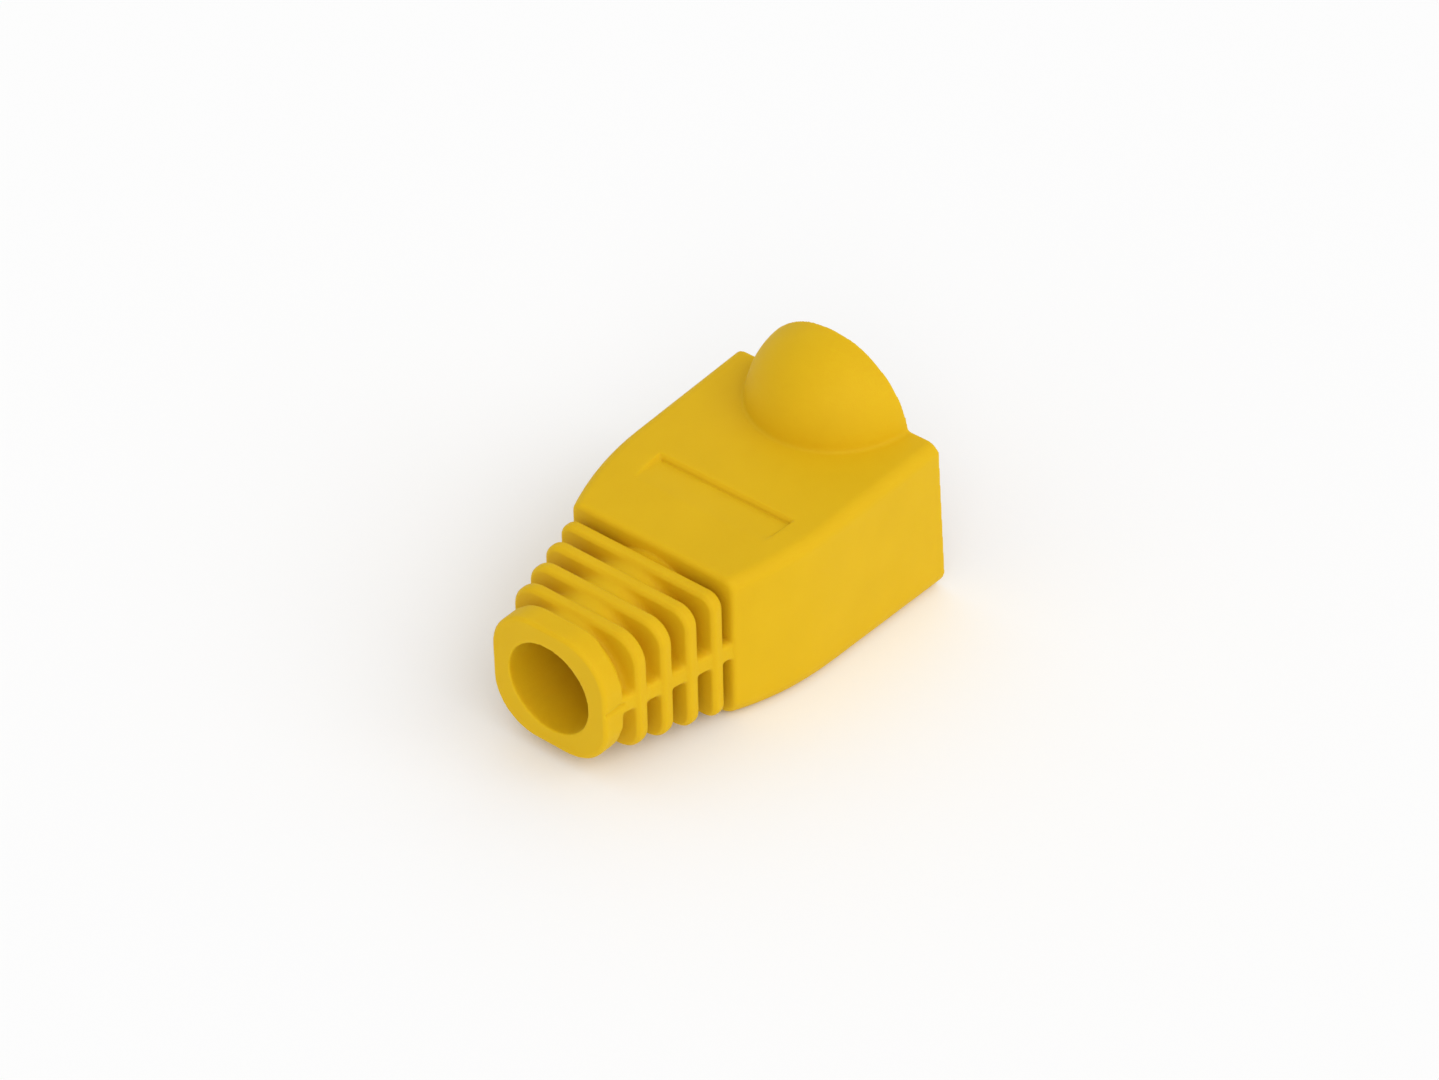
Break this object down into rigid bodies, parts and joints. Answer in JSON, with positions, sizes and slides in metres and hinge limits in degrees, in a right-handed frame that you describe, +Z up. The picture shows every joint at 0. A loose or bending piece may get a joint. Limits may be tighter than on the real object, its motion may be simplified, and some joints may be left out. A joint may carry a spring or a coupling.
{
  "type": "rj45 strain relief boot",
  "caption": "Slip-on boot for a modular data plug: ribbed bend-relief neck with a round cable bore, and a square housing with a latch dome.",
  "frame": {"origin": "centre of the cable bore's mouth, on the end face of the ribbed neck", "axes": "+Y runs along the bore from the cable end to the plug end, +Z is up through the latch dome, X is the width"},
  "size_m": [0.014, 0.024, 0.0145],
  "materials": {
    "moulded_pvc": "matt"
  },
  "bodies": {
    "root": {"strain_relief_boot": "moulded_pvc"}
  },
  "joints": []
}
